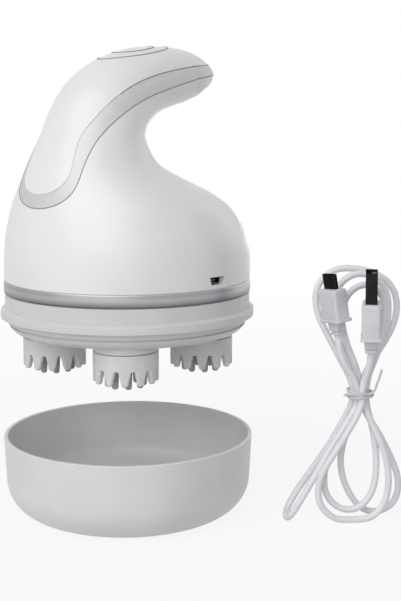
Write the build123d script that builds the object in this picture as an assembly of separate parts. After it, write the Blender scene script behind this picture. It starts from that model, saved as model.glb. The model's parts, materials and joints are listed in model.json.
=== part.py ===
from build123d import *
import math
import os

# Electric scalp massager with four turning claw heads, shown lifted off its storage cup, and the
# charging cable tied in a standing hank beside it. Millimetres, +Z up, origin at the middle of the
# cup's foot. The handle hooks over towards +X and the charging port looks towards -Y.

# ---- Massager body ----
lift = 48.0  # how far the massager is drawn out of the cup
body_diameter = 97.0
handle_height = 91.2  # from the silver band to the top of the handle
shell_wall = 2.4
seam = 0.2  # open line between the white, silver and white skins
edge_chamfer = 0.35  # on both edges of the band, which read as two dark lines

# ---- Rings under the body, from the cup upwards ----
lip_overhang = 1.5  # how far the lip stands out past the body
lip_height = 3.8
collar_height = 5.8
collar_setback = 0.2
band_height = 4.8

# ---- Storage cup ----
cup_overhang = 1.0  # how far the rim stands out past the body
cup_height = 31.0
cup_wall = 1.5
cup_draft = 0.9  # how much smaller the radius is where the wall ends than at the rim
cup_corner = 14.0  # outer radius between wall and floor
foot_recess = 0.5
foot_ring_width = 8.0
rim_round = 0.4
lug_width = 4.5
lug_height = 1.6
lug_drop = 3.0  # from the rim down to the lugs
lug_clearance = 0.15  # between the lugs and the spigot that enters the cup
spigot_clearance = 0.6  # between the spigot and the cup's wall

# ---- Base ----
tube_clearance = 0.1  # between the base's tube and the rings around it
ring_wall = 2.4
tube_wall = 2.0
tube_reach = 1.6  # how far the tube stands up inside the housing
spigot_height = 6.5
spigot_corner = 6.2
base_floor = 2.5
ledge_width = 1.4
seal_groove_depth = 0.45
seal_groove_height = 0.8
boss_diameter = 24.6
boss_height = 2.4

# ---- Claw heads ----
head_diameter = 24.8
head_gap = 0.3  # between boss and head
head_body_height = 6.0
outer_fingers = 12
outer_finger_length = 5.7
finger_wall = 2.9
notch_root_width = 0.9
notch_tip_width = 3.4
inner_fingers = 8
inner_finger_length = 7.7
inner_finger_circle = 13.4
inner_finger_diameter = 3.2
inner_tip_diameter = 2.2

# ---- Gear train ----
gear_clearance = 0.7  # between the planet gears' tips and the wall around them
sun_teeth = 24
planet_teeth = 15
pressure_angle = 25.0
backlash = 0.16
flank_steps = 3
gear_width = 4.8
hub_diameter = 9.0
gear_end_play = 0.1
cavity_height = 8.0  # from the base's floor to the gear deck
shaft_diameter = 5.0
shaft_flat = 0.6
shaft_clearance = 0.03
bush_diameter = 8.0
bush_flange_diameter = 10.0
bush_flange_height = 0.8
deck_thickness = 3.0
screw_setback = 6.1  # from the deck's edge in to the screws
screw_boss_diameter = 7.0
screw_diameter = 3.0
screw_head_diameter = 5.5
screw_head_height = 2.0
screw_length = 7.0
screw_clearance = 0.05

# ---- Motor, cell and boards ----
gearbox_diameter = 27.0
gearbox_height = 12.0
motor_diameter = 24.4
motor_length = 30.0
motor_cap_diameter = 10.0
motor_cap_height = 2.0
cell_diameter = 18.2
cell_length = 49.0
cell_gap = 0.8  # between the gearbox and the cell's cradle
cradle_wall = 1.1
cradle_floor = 1.5
cradle_height = 9.0
cradle_clearance = 0.1
board_thickness = 1.2
board_width = 26.0
board_depth = 15.0
board_tongue_width = 10.0
board_tube_clearance = 0.4
standoff_diameter = 4.0
standoff_inset = 3.0
port_rise = 3.2  # from the band to the middle of the port
port_width = 8.0
port_foot_width = 6.4
port_height = 3.0
socket_width = 7.4
socket_depth = 5.6
socket_height = 2.6
socket_wall = 0.4
socket_setback = 0.2

# ---- Switch ----
switch_x = 3.5
bezel_length = 33.0
bezel_width = 19.6
bezel_depth = 12.0  # from the handle's top to the bezel's foot
button_length = 18.6
button_width = 12.8
button_clearance = 0.15
button_travel = 0.6
button_flange = 1.1
button_flange_height = 1.2
button_seat_depth = 6.0  # from the handle's top to the step that stops the button
button_foot_diameter = 3.4
switch_board_inset = 1.2
switch_board_thickness = 1.0
switch_size = 6.0
switch_body_height = 2.0
switch_stem_diameter = 3.0
switch_stem_height = 0.6
switch_gap = 0.1  # left between foot and stem when the button is down

# ---- Charging cable ----
cable_diameter = 2.6
cable_place = (49.4, -77.2, 0.0)
cable_turn = -43.5
hank_sections = [
    # across, away, height, half width, half depth
    (0.0, 0.0, 0.0, 15.0, 7.0),
    (-1.0, 0.0, 6.0, 21.5, 9.0),
    (-1.0, 0.0, 18.0, 19.0, 9.0),
    (0.0, 0.0, 34.0, 11.5, 7.0),
    (0.7, 0.0, 50.5, 5.0, 4.6),
    (0.4, 3.0, 66.0, 11.5, 4.4),
    (-0.3, 5.0, 80.0, 17.5, 4.2),
    (-0.3, 5.0, 90.0, 16.5, 4.0),
    (-0.3, 5.0, 99.0, 9.0, 3.0),
]
waist_height = 50.5
# Foot point of each plug, and width, depth and height of its strain relief, grip and metal shell.
usb_a_relief_foot = (3.0, -8.0, 68.0)
usb_a_relief = (5.0, 7.0, 5.2)
usb_a_grip = (7.2, 15.5, 14.0)
usb_a_shell = (4.5, 12.0, 11.8)
usb_a_tongue = (1.9, 11.1)
micro_relief_foot = (-9.0, -5.0, 74.5)
micro_relief = (5.0, 4.6, 5.0)
micro_grip = (10.4, 6.6, 12.8)
micro_shell = (6.85, 1.8, 5.6)
shell_sheet = 0.3
tie_clearance = 0.3
tie_thickness = 0.8
tie_height = 2.4
tie_tail_diameter = 1.4
tie_tail_end = (8.3, -3.0, 60.0)

# ---- Places worked out from the sizes above ----
body_radius = body_diameter / 2
cup_radius = body_radius + cup_overhang
lip_radius = body_radius + lip_overhang
spigot_radius = cup_radius - cup_wall - spigot_clearance
lip_z = cup_height + lift
collar_z = lip_z + lip_height
band_z = collar_z + collar_height
body_z = band_z + band_height
base_z = lip_z - spigot_height
floor_z = base_z + base_floor
deck_z = floor_z + cavity_height
deck_top = deck_z + deck_thickness
boss_z = base_z - boss_height
head_top = boss_z - head_gap
finger_root_z = head_top - head_body_height
tube_radius = body_radius - ring_wall
tube_bore_radius = tube_radius - tube_wall
cavity_radius = tube_bore_radius - ledge_width
gear_module = (cavity_radius - gear_clearance) / (sun_teeth / 2 + planet_teeth + 1)
head_circle_radius = gear_module * (sun_teeth + planet_teeth) / 2
head_places = PolarLocations(head_circle_radius, 4, start_angle=45)
screw_places = PolarLocations(tube_bore_radius - screw_setback, 4)
screw_top = deck_top - gear_end_play  # the heads are sunk in the deck
screw_seat = screw_top - screw_head_height
screw_foot = screw_top - screw_length
shaft_bore_radius = shaft_diameter / 2 + shaft_clearance
gear_z = (floor_z + bush_flange_height + deck_z - gear_width) / 2
handle_top = body_z + handle_height
port_z = body_z + port_rise
bezel_foot_z = handle_top - bezel_depth
button_seat_z = handle_top - button_seat_depth


def column(radius, bottom, top):
    """Upright cylinder on the Z axis between two heights."""
    return Pos(0, 0, bottom) * Cylinder(radius, top - bottom, align=(Align.CENTER, Align.CENTER, Align.MIN))


def oval_column(length, width, bottom, top):
    """Upright oval column at the switch between two heights."""
    return extrude(Pos(switch_x, 0, bottom) * Ellipse(length / 2, width / 2), top - bottom)


def slab(width, depth, bottom, top):
    """Upright block centred on the Z axis between two heights."""
    return Pos(0, 0, bottom) * Box(width, depth, top - bottom, align=(Align.CENTER, Align.CENTER, Align.MIN))


def turned(*outline):
    """Solid of revolution about Z of a closed outline of (radius, height) points."""
    face = make_face(Plane.XZ * Polyline(*outline, close=True))
    return revolve(face, Axis.Z)


def on_polar_places(solid, places):
    return [place * solid for place in places]


# ---- Storage cup ----
def cup_form(inset):
    """Solid of the cup's outer form, drawn in by a wall thickness."""
    rim = cup_radius - inset
    wall_end = cup_radius - cup_draft - inset
    corner = cup_corner - inset
    outline = [
        Line((0, inset), (wall_end - corner, inset)),
        CenterArc((wall_end - corner, inset + corner), corner, -90, 90),
        Line((wall_end, inset + corner), (rim, cup_height)),
        Polyline((rim, cup_height), (0, cup_height), (0, inset)),
    ]
    return revolve(make_face(Plane.XZ * Curve(children=outline)), Axis.Z)


def make_storage_cup():
    inside = cup_form(cup_wall)
    cup = cup_form(0) - inside
    rim_edges = cup.edges().filter_by(GeomType.CIRCLE).filter_by_position(
        Axis.Z, cup_height - 0.01, cup_height + 0.01
    )
    cup = fillet(rim_edges, rim_round)
    recess_radius = cup_radius - cup_draft - cup_corner - foot_ring_width
    cup -= column(recess_radius, 0, foot_recess)
    lug_top = cup_height - lug_drop
    lug_ring = column(cup_radius - cup_wall / 2, lug_top - lug_height, lug_top)
    lug_ring -= column(spigot_radius + lug_clearance, lug_top - lug_height, lug_top)
    across = slab(2 * cup_radius, lug_width, 0, cup_height)
    lugs = lug_ring & (across + Rot(Z=90) * across)
    return cup + lugs


# ---- Housing, cover and trim ----
# Each section of the body is an ellipse between a point on the back and front outline (crest) and a
# point on the throat, the outline under the hook. Shares: crest x, crest z, throat x, throat z and half
# width, with x and width in body radii and z in handle heights.
sections = [
    (-1.000, 0.000, 1.000, 0.000, 1.000),
    (-1.000, 0.080, 1.000, 0.080, 1.000),
    (-0.990, 0.170, 0.988, 0.170, 0.990),
    (-0.974, 0.245, 0.917, 0.245, 0.945),
    (-0.954, 0.315, 0.802, 0.315, 0.878),
    (-0.934, 0.375, 0.623, 0.375, 0.775),
    (-0.912, 0.430, 0.392, 0.430, 0.650),
    (-0.880, 0.490, 0.171, 0.490, 0.532),
    (-0.835, 0.552, 0.078, 0.552, 0.466),
    (-0.770, 0.624, 0.052, 0.608, 0.425),
    (-0.672, 0.739, 0.095, 0.655, 0.404),
    (-0.515, 0.849, 0.187, 0.692, 0.388),
    (-0.270, 0.936, 0.315, 0.718, 0.367),
    (0.035, 0.987, 0.455, 0.738, 0.346),
    (0.340, 1.000, 0.590, 0.757, 0.326),
    (0.600, 0.988, 0.700, 0.780, 0.297),
    (0.760, 0.945, 0.790, 0.810, 0.239),
    (0.832, 0.903, 0.845, 0.842, 0.136),
]
hook_tip = (0.853, 0.873)
hook_turn = 14  # the body is lofted in two lengths that meet at this section
hollow_sections = 16  # the hook beyond this section is solid
# Side view of the two edges of the silver trim, in the same shares, from the front round to the tip.
trim_lower_edge = [
    (-1.072, 0.272), (-0.959, 0.322), (-0.868, 0.384), (-0.757, 0.497), (-0.610, 0.611),
    (-0.289, 0.739), (0.179, 0.816), (0.620, 0.866), (0.960, 0.880),
]
trim_upper_edge = [
    (-1.072, 0.316), (-0.946, 0.376), (-0.847, 0.453), (-0.746, 0.576), (-0.608, 0.687),
    (-0.303, 0.815), (0.087, 0.882), (0.588, 0.920), (0.960, 0.930),
]


def side_point(share_x, share_z):
    return Vector(share_x * body_radius, 0, body_z + share_z * handle_height)


def section_face(section, inset):
    """Ellipse of one body section, drawn in by a wall thickness."""
    crest_x, crest_z, throat_x, throat_z, half_width = section
    crest = side_point(crest_x, crest_z)
    throat = side_point(throat_x, throat_z)
    across = throat - crest
    along = Vector(-across.Z, 0, across.X)
    plane = Plane(origin=(crest + throat) * 0.5, x_dir=across, z_dir=along)
    return plane * Ellipse(across.length / 2 - inset, half_width * body_radius - inset)


def blended_sections():
    """The table's rows and one row blended between each two, which holds the loft close to them."""
    rows = [sections[0]]
    for k in range(1, len(sections)):
        near = sections[k - 1:k + 1]
        far = (sections[max(k - 2, 0)], sections[min(k + 1, len(sections) - 1)])
        rows.append([(9 * (a + b) - c - d) / 16 for a, b, c, d in zip(*near, *far)])
        rows.append(sections[k])
    return rows


def body_form():
    faces = [section_face(row, 0) for row in blended_sections()]
    tip = Vertex(*side_point(*hook_tip))
    return loft(faces[:2 * hook_turn + 1]) + loft(faces[2 * hook_turn:] + [tip])


def body_cavity():
    """Inside of the housing, open at the foot; the nose of the hook stays solid."""
    faces = [section_face(row, shell_wall) for row in blended_sections()[:2 * hollow_sections + 1]]
    foot = Pos(0, 0, -shell_wall) * faces[0]
    return loft([foot] + faces[:2 * hook_turn + 1]) + loft(faces[2 * hook_turn:])


def region_above(edge, shift):
    """Block right across the body above a side-view edge moved up by a shift."""
    points = [side_point(*share) + Vector(0, 0, shift) for share in edge]
    far = Vector(0, 0, handle_height)
    outline = [
        Spline(*points),
        Polyline(points[-1], points[-1] + far, points[0] + far, points[0]),
    ]
    face = Pos(0, -body_diameter, 0) * make_face(Curve(children=outline))
    return extrude(face, 2 * body_diameter, dir=(0, 1, 0))


def port_cutter():
    """Tapered slot of the charging port through the front wall."""
    top = port_z + port_height / 2
    bottom = port_z - port_height / 2
    outline = Polyline(
        (-port_width / 2, 0, top), (port_width / 2, 0, top),
        (port_foot_width / 2, 0, bottom), (-port_foot_width / 2, 0, bottom), close=True,
    )
    return extrude(make_face(outline), body_diameter, dir=(0, -1, 0))


def make_skins(form, cavity):
    """Housing, silver trim and cover: one wall, parted along the trim's two edges."""
    wall = form - cavity
    above_lower = region_above(trim_lower_edge, 0)
    housing = wall - above_lower - port_cutter()
    housing = chamfer_foot(housing)
    trim = (wall & region_above(trim_lower_edge, seam)) - region_above(trim_upper_edge, -seam)
    cover = wall & region_above(trim_upper_edge, 0)
    cover -= oval_column(
        bezel_length + 2 * button_clearance, bezel_width + 2 * button_clearance, body_z, handle_top + 1
    )
    return housing, trim, cover


def chamfer_foot(housing):
    cutter = turned(
        (body_radius - edge_chamfer, body_z), (body_radius + 1, body_z),
        (body_radius + 1, body_z + edge_chamfer + 1),
    )
    return housing - cutter


# ---- Switch ----
def make_bezel(form):
    bezel = form & oval_column(bezel_length, bezel_width, bezel_foot_z, handle_top + 1)
    bezel -= oval_column(
        button_length + 2 * button_clearance, button_width + 2 * button_clearance, bezel_foot_z, handle_top + 1
    )
    room = 2 * (button_flange + button_clearance)
    return bezel - oval_column(button_length + room, button_width + room, bezel_foot_z, button_seat_z)


def make_button(form):
    flange_top = button_seat_z - gear_end_play
    flange_foot = flange_top - button_flange_height
    cap = form & oval_column(button_length, button_width, flange_foot, handle_top + 1)
    flange = oval_column(
        button_length + 2 * button_flange, button_width + 2 * button_flange, flange_foot, flange_top
    )
    foot_z = bezel_foot_z + switch_body_height + switch_stem_height + button_travel + switch_gap
    foot = Pos(switch_x, 0, 0) * column(button_foot_diameter / 2, foot_z, flange_foot)
    return cap + flange + foot


def make_switch_board():
    return oval_column(
        bezel_length - 2 * switch_board_inset, bezel_width - 2 * switch_board_inset,
        bezel_foot_z - switch_board_thickness, bezel_foot_z,
    )


def make_tactile_switch():
    body_top = bezel_foot_z + switch_body_height
    switch = slab(switch_size, switch_size, bezel_foot_z, body_top)
    switch += column(switch_stem_diameter / 2, body_top, body_top + switch_stem_height)
    return Pos(switch_x, 0, 0) * switch


# ---- Rings between the body and the cup ----
def make_band():
    return turned(
        (tube_radius + tube_clearance, band_z),
        (body_radius - edge_chamfer, band_z),
        (body_radius, band_z + edge_chamfer),
        (body_radius, body_z - edge_chamfer),
        (body_radius - edge_chamfer, body_z),
        (tube_radius + tube_clearance, body_z),
    )


def make_collar():
    outer = body_radius - collar_setback
    return turned(
        (tube_radius + tube_clearance, collar_z),
        (outer, collar_z),
        (outer, band_z - edge_chamfer),
        (outer - edge_chamfer, band_z),
        (tube_radius + tube_clearance, band_z),
    )


def make_lip_seal():
    bulge = lip_height / 2
    flat = lip_radius - bulge
    inner = tube_radius + tube_clearance
    outline = [
        Line((inner, lip_z), (flat, lip_z)),
        CenterArc((flat, lip_z + bulge), bulge, -90, 180),
        Polyline((flat, collar_z), (inner, collar_z), (inner, lip_z)),
    ]
    return revolve(make_face(Plane.XZ * Curve(children=outline)), Axis.Z)


# ---- Base with its bosses and bearings ----
def make_base():
    corner_x = spigot_radius - spigot_corner
    tube_top = body_z + tube_reach
    outline = [
        Line((0, base_z), (corner_x, base_z)),
        CenterArc((corner_x, base_z + spigot_corner), spigot_corner, -90, 90),
        Polyline(
            (spigot_radius, base_z + spigot_corner), (spigot_radius, lip_z), (tube_radius, lip_z),
            (tube_radius, tube_top), (tube_bore_radius, tube_top), (tube_bore_radius, deck_z),
            (cavity_radius, deck_z), (cavity_radius, floor_z), (0, floor_z), (0, base_z),
        ),
    ]
    base = revolve(make_face(Plane.XZ * Curve(children=outline)), Axis.Z)
    groove_top = base_z + spigot_corner - lip_height / 2
    groove = column(spigot_radius + 1, groove_top - seal_groove_height, groove_top)
    groove -= column(spigot_radius - spigot_corner / 8 - seal_groove_depth, groove_top - seal_groove_height, groove_top)
    base -= groove
    for place in head_places:
        base += place * column(boss_diameter / 2, boss_z, floor_z)
    for place in screw_places:
        base += place * column(screw_boss_diameter / 2, floor_z, deck_z)
    base += column(hub_diameter / 2, floor_z, floor_z + bush_flange_height)
    base -= column(shaft_bore_radius, floor_z, deck_z)
    for place in head_places:
        base -= place * column(bush_diameter / 2, boss_z, floor_z)
    for place in screw_places:
        base -= place * column(screw_diameter / 2 + screw_clearance, screw_foot - gear_end_play, deck_z)
    return base


def make_bush():
    bush = column(bush_diameter / 2, boss_z, floor_z)
    bush += column(bush_flange_diameter / 2, floor_z, floor_z + bush_flange_height)
    return bush - column(shaft_bore_radius, boss_z, floor_z + bush_flange_height)


# ---- Claw heads and their shafts ----
def d_section(radius, bottom, top):
    """Round column with one flat, which drives the head."""
    flat_side = Pos(radius - shaft_flat, 0, 0) * slab(2 * shaft_diameter, 2 * shaft_diameter, bottom, top)
    flat_side = Pos(shaft_diameter, 0, 0) * flat_side
    return column(radius, bottom, top) - flat_side


def notch_cutter():
    """Tapered gap between two outer fingers, narrow at the root and wide at the tips."""
    tip_z = finger_root_z - outer_finger_length
    below = tip_z - gear_end_play
    outline = Polyline(
        (0, -notch_root_width / 2, finger_root_z), (0, notch_root_width / 2, finger_root_z),
        (0, notch_tip_width / 2, tip_z), (0, notch_tip_width / 2, below),
        (0, -notch_tip_width / 2, below), (0, -notch_tip_width / 2, tip_z), close=True,
    )
    return extrude(make_face(outline), head_diameter / 2 + 1, dir=(1, 0, 0))


def inner_finger():
    tip_z = finger_root_z - inner_finger_length
    return turned(
        (0, finger_root_z), (inner_finger_diameter / 2, finger_root_z), (inner_tip_diameter / 2, tip_z), (0, tip_z)
    )


def make_head():
    radius = head_diameter / 2
    tip_z = finger_root_z - outer_finger_length
    claws = column(radius, tip_z, finger_root_z) - column(radius - finger_wall, tip_z, finger_root_z)
    half_pitch = 180 / outer_fingers
    for place in PolarLocations(0, outer_fingers, start_angle=half_pitch):
        claws -= place * notch_cutter()
    head = column(radius, finger_root_z, head_top) + claws
    for place in PolarLocations(inner_finger_circle / 2, inner_fingers):
        head += place * inner_finger()
    socket_radius = shaft_diameter / 2 + shaft_clearance
    return head - d_section(socket_radius, finger_root_z + head_gap * 5, head_top)


def make_shaft():
    """Steel shaft from the head's socket to the gear deck, flatted where the head sits."""
    foot = finger_root_z + head_gap * 5 + gear_end_play
    flat_top = boss_z - gear_end_play
    shaft = d_section(shaft_diameter / 2, foot, flat_top)
    return shaft + column(shaft_diameter / 2, flat_top, deck_top - gear_end_play)


# ---- Gears ----
def gear_outline(teeth):
    """Closed involute outline with a tooth centred on +X."""
    pitch_radius = gear_module * teeth / 2
    angle = math.radians(pressure_angle)
    base_radius = pitch_radius * math.cos(angle)
    tip_radius = pitch_radius + gear_module
    root_radius = pitch_radius - 1.25 * gear_module
    half_tooth = (math.pi * gear_module / 2 - backlash) / (2 * pitch_radius)
    start_radius = max(base_radius, root_radius)

    def half_angle(radius):
        roll = math.acos(base_radius / radius)
        return half_tooth + math.tan(angle) - angle - math.tan(roll) + roll

    radii = [start_radius + (tip_radius - start_radius) * k / flank_steps for k in range(flank_steps + 1)]
    rising = [(root_radius, -half_angle(start_radius))] + [(r, -half_angle(r)) for r in radii]
    falling = [(r, -a) for r, a in reversed(rising)]
    points = []
    for tooth in range(teeth):
        centre = 2 * math.pi * tooth / teeth
        for radius, offset in rising + falling:
            points.append((radius * math.cos(centre + offset), radius * math.sin(centre + offset)))
    return Polyline(*points, close=True)


def make_gear(teeth):
    gear = extrude(Pos(0, 0, gear_z) * make_face(gear_outline(teeth)), gear_width)
    hub_foot = floor_z + bush_flange_height + gear_end_play
    gear += column(hub_diameter / 2, hub_foot, deck_z - gear_end_play)
    return gear - column(shaft_bore_radius, hub_foot, deck_z)


def make_drive_shaft():
    """Gearbox output shaft, which carries the sun gear and turns in the base's middle boss."""
    return column(shaft_diameter / 2, floor_z + gear_end_play, deck_top + deck_thickness)


# ---- Gear deck and what stands on it ----
def make_deck():
    deck = column(tube_bore_radius - tube_clearance, deck_z, deck_top)
    deck -= column(shaft_bore_radius, deck_z, deck_top)
    for place in head_places:
        deck -= place * column(shaft_bore_radius, deck_z, deck_top)
    for place in screw_places:
        deck -= place * column(screw_diameter / 2 + screw_clearance, deck_z, deck_top)
        deck -= place * column(screw_head_diameter / 2 + screw_clearance, screw_seat, deck_top)
    for place in board_corners():
        deck += place * column(standoff_diameter / 2, deck_top, board_z)
    return deck


def make_screws():
    screw = column(screw_diameter / 2, screw_foot, screw_seat)
    screw += column(screw_head_diameter / 2, screw_seat, screw_top)
    return Compound(children=on_polar_places(screw, screw_places))


def make_gearbox():
    bore_top = deck_top + deck_thickness + gear_end_play
    gearbox = column(gearbox_diameter / 2, deck_top, deck_top + gearbox_height)
    return gearbox - column(shaft_bore_radius, deck_top, bore_top)


def make_motor():
    foot = deck_top + gearbox_height
    top = foot + motor_length
    return column(motor_diameter / 2, foot, top) + column(motor_cap_diameter / 2, top, top + motor_cap_height)


cradle_radius = cell_diameter / 2 + cradle_clearance + cradle_wall
cell_x = -(gearbox_diameter / 2 + cell_gap + cradle_radius)


def make_cell():
    foot = deck_top + cradle_floor
    return Pos(cell_x, 0, 0) * column(cell_diameter / 2, foot, foot + cell_length)


def make_cradle():
    cradle = column(cradle_radius, deck_top, deck_top + cradle_height)
    cradle -= column(cell_diameter / 2 + cradle_clearance, deck_top + cradle_floor, deck_top + cradle_height)
    return Pos(cell_x, 0, 0) * cradle


# ---- Main board and charging socket ----
board_top = port_z - socket_height / 2
board_z = board_top - board_thickness
tongue_y = -math.sqrt((tube_bore_radius - board_tube_clearance) ** 2 - (board_tongue_width / 2) ** 2)
board_y = -math.sqrt((tube_bore_radius - board_tube_clearance) ** 2 - (board_width / 2) ** 2)
socket_y = -math.sqrt((body_radius - shell_wall) ** 2 - (socket_width / 2) ** 2) + socket_setback


def board_corners():
    reach_x = board_width / 2 - standoff_inset
    near = board_y + standoff_inset
    far = board_y + board_depth - standoff_inset
    return [Pos(x, y, 0) for x in (-reach_x, reach_x) for y in (near, far)]


def make_board():
    board = Pos(0, board_y + board_depth / 2, 0) * slab(board_width, board_depth, board_z, board_top)
    tongue_depth = board_y + board_depth - tongue_y
    return board + Pos(0, tongue_y + tongue_depth / 2, 0) * slab(board_tongue_width, tongue_depth, board_z, board_top)


def make_socket():
    socket = slab(socket_width, socket_depth, board_top, board_top + socket_height)
    mouth_depth = socket_depth - socket_wall
    mouth = slab(
        socket_width - 2 * socket_wall, mouth_depth, board_top + socket_wall, board_top + socket_height - socket_wall
    )
    tongue = slab(socket_width / 2, mouth_depth, port_z - socket_wall, port_z + socket_wall / 2)
    socket -= Pos(0, -socket_wall / 2, 0) * mouth
    socket += Pos(0, socket_wall / 2, 0) * tongue
    return Pos(0, socket_y + socket_depth / 2, 0) * socket


# ---- Charging cable, built facing -Y and then turned to its place ----
def lead(end):
    """Straight stub of cord from the waist of the hank up to a plug's foot, cut level there."""
    start = Vector(0, 0, waist_height)
    run = Vector(*end) - start
    path = Line(start, Vector(*end) + run.normalized() * cable_diameter)
    stub = sweep(Plane(origin=start, z_dir=run) * Circle(cable_diameter / 2), path=path)
    return stub - slab(4 * end[2], 4 * end[2], end[2], 2 * end[2])


def make_hank():
    faces = [
        Pos(across, away, height) * Ellipse(half_width, half_depth)
        for across, away, height, half_width, half_depth in hank_sections
    ]
    return loft(faces) + lead(usb_a_relief_foot) + lead(micro_relief_foot)


def stacked_plug(foot, relief, overmold):
    """Strain relief and grip of a plug as rounded blocks (width, depth, height) on a foot point."""
    grip_z = foot[2] + relief[2]
    plug = Pos(foot[0], foot[1], 0) * slab(relief[0], relief[1], foot[2], grip_z)
    grip = slab(overmold[0], overmold[1], grip_z, grip_z + overmold[2])
    grip = fillet(grip.edges().filter_by(Axis.Z), min(overmold[0], overmold[1]) / 4)
    return plug + Pos(foot[0], foot[1], 0) * grip


def plug_shell(foot, relief, grip, shell):
    """Sheet metal sleeve that stands on the grip."""
    bottom = foot[2] + relief[2] + grip[2]
    top = bottom + shell[2]
    sleeve = slab(shell[0], shell[1], bottom, top)
    sleeve -= slab(shell[0] - 2 * shell_sheet, shell[1] - 2 * shell_sheet, bottom + shell_sheet, top)
    return sleeve, bottom, top


def make_usb_a_shell():
    sleeve, bottom, top = plug_shell(usb_a_relief_foot, usb_a_relief, usb_a_grip, usb_a_shell)
    tongue = slab(usb_a_tongue[0], usb_a_tongue[1], bottom, top - shell_sheet)
    offset = (usb_a_shell[0] - usb_a_tongue[0]) / 2 - shell_sheet
    sleeve += Pos(offset, 0, 0) * tongue
    return Pos(usb_a_relief_foot[0], usb_a_relief_foot[1], 0) * sleeve


def make_micro_shell():
    sleeve, bottom, top = plug_shell(micro_relief_foot, micro_relief, micro_grip, micro_shell)
    return Pos(micro_relief_foot[0], micro_relief_foot[1], 0) * sleeve


def make_tie():
    across, away, height, half_width, half_depth = hank_sections[4]
    inner = tie_clearance
    outer = tie_clearance + tie_thickness
    place = Pos(across, away, height - tie_height / 2)
    ring = Ellipse(half_width + outer, half_depth + outer) - Ellipse(half_width + inner, half_depth + inner)
    tie = extrude(place * ring, tie_height)
    start = Vector(across + half_width + outer, away, height)
    run = Vector(*tie_tail_end) - start
    tail = sweep(Plane(origin=start, z_dir=run) * Circle(tie_tail_diameter / 2), path=Line(start, Vector(*tie_tail_end)))
    return tie + tail


def place_cable(solid):
    return Pos(*cable_place) * Rot(Z=cable_turn) * solid


# ---- Write every sub-part ----
def save(node, solid):
    export_step(solid, os.path.join("parts", node + ".step"))


def main():
    os.makedirs("parts", exist_ok=True)
    form = body_form()
    housing, trim, cover = make_skins(form, body_cavity())
    save("storage_cup", make_storage_cup())
    save("housing_shell", housing)
    save("handle_trim", trim)
    save("handle_cover", cover)
    save("button_bezel", make_bezel(form))
    save("power_button", make_button(form))
    save("switch_board", make_switch_board())
    save("tactile_switch", make_tactile_switch())
    save("silver_band", make_band())
    save("seal_collar", make_collar())
    save("lip_seal", make_lip_seal())
    save("base_plate", make_base())
    save("gear_deck", make_deck())
    save("deck_screws", make_screws())
    save("gearbox", make_gearbox())
    save("motor_can", make_motor())
    save("battery_cell", make_cell())
    save("battery_cradle", make_cradle())
    save("main_board", make_board())
    save("charge_socket", make_socket())
    save("sun_gear", make_gear(sun_teeth))
    save("drive_shaft", make_drive_shaft())
    head = make_head()
    shaft = make_shaft()
    planet = make_gear(planet_teeth)
    bush = make_bush()
    for number, place in enumerate(head_places, start=1):
        save(f"massage_head_{number}", place * head)
        save(f"head_shaft_{number}", place * shaft)
        save(f"planet_gear_{number}", place * planet)
        save(f"shaft_bush_{number}", place * bush)
    save("cable_hank", place_cable(make_hank()))
    save("usb_a_plug", place_cable(stacked_plug(usb_a_relief_foot, usb_a_relief, usb_a_grip)))
    save("usb_a_shell", place_cable(make_usb_a_shell()))
    save("micro_usb_plug", place_cable(stacked_plug(micro_relief_foot, micro_relief, micro_grip)))
    save("micro_usb_shell", place_cable(make_micro_shell()))
    save("cable_tie", place_cable(make_tie()))


if __name__ == "__main__":
    main()
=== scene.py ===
"""Looks for an electric scalp massager lifted off its storage cup, with its tied charging cable."""

import json
import math

import bmesh
import bpy
from mathutils import Matrix, Vector


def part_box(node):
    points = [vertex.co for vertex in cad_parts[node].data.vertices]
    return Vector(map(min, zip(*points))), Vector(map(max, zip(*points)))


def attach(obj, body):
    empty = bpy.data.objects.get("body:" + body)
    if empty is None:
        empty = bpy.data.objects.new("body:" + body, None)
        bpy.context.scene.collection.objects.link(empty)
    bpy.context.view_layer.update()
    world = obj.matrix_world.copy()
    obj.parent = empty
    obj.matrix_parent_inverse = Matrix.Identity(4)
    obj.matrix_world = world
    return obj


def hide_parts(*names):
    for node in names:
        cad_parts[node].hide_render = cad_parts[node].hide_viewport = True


bl_info = {
    "name": "Electric Scalp Massager",
    "version": (1, 0, 0),
    "blender": (4, 5, 0),
    "location": "View3D > Sidebar > Massager",
    "description": "Models the claws, cable and finishes of a scalp massager round its fixed frame",
    "category": "Object",
}

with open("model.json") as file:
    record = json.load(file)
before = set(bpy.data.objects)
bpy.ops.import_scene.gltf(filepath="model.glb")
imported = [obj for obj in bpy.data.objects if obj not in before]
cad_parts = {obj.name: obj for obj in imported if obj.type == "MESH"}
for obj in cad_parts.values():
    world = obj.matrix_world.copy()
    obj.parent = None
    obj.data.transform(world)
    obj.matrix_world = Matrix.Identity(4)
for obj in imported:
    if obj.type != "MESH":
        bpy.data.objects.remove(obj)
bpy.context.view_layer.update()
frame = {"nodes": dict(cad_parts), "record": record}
NODES = frame["nodes"]
MM = 0.001

# ---- Where things are in the frame ----
HEADS = (1, 2, 3, 4)
CABLE_PLACE = Matrix.Translation((0.0494, -0.0772, 0.0)) @ Matrix.Rotation(math.radians(-43.5), 4, "Z")

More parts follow.
